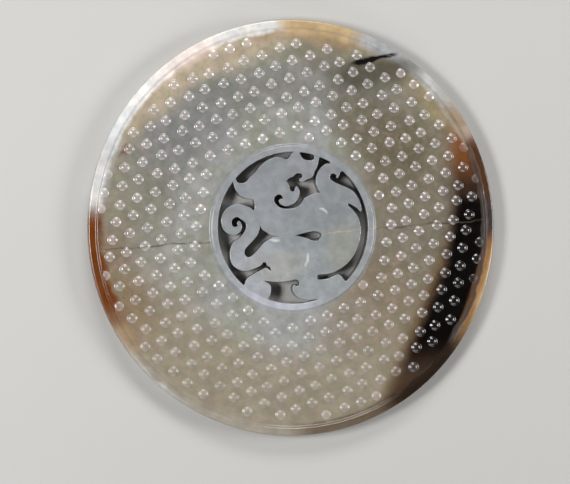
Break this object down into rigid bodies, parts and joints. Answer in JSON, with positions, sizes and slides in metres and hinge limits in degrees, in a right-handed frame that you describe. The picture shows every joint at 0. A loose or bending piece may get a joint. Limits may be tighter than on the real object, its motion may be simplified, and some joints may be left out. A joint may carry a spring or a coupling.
{
  "type": "jade bi disc",
  "caption": "Round flat jade ritual disc with a raised rim, a sunken field of small round nubs and an openwork coiled dragon inside a centre ring.",
  "frame": {"origin": "middle of the underside, on the surface that the disc lies on", "axes": "+Z out of the carved front, +Y to the dragon's head side, +X to the side that the dragon faces"},
  "size_m": [0.128, 0.13, 0.005],
  "materials": {
    "jade": "polished nephrite, grey-green to beige, clouded, with rust and black stains"
  },
  "bodies": {
    "root": {"jade_bi_disc": "jade"}
  },
  "joints": []
}
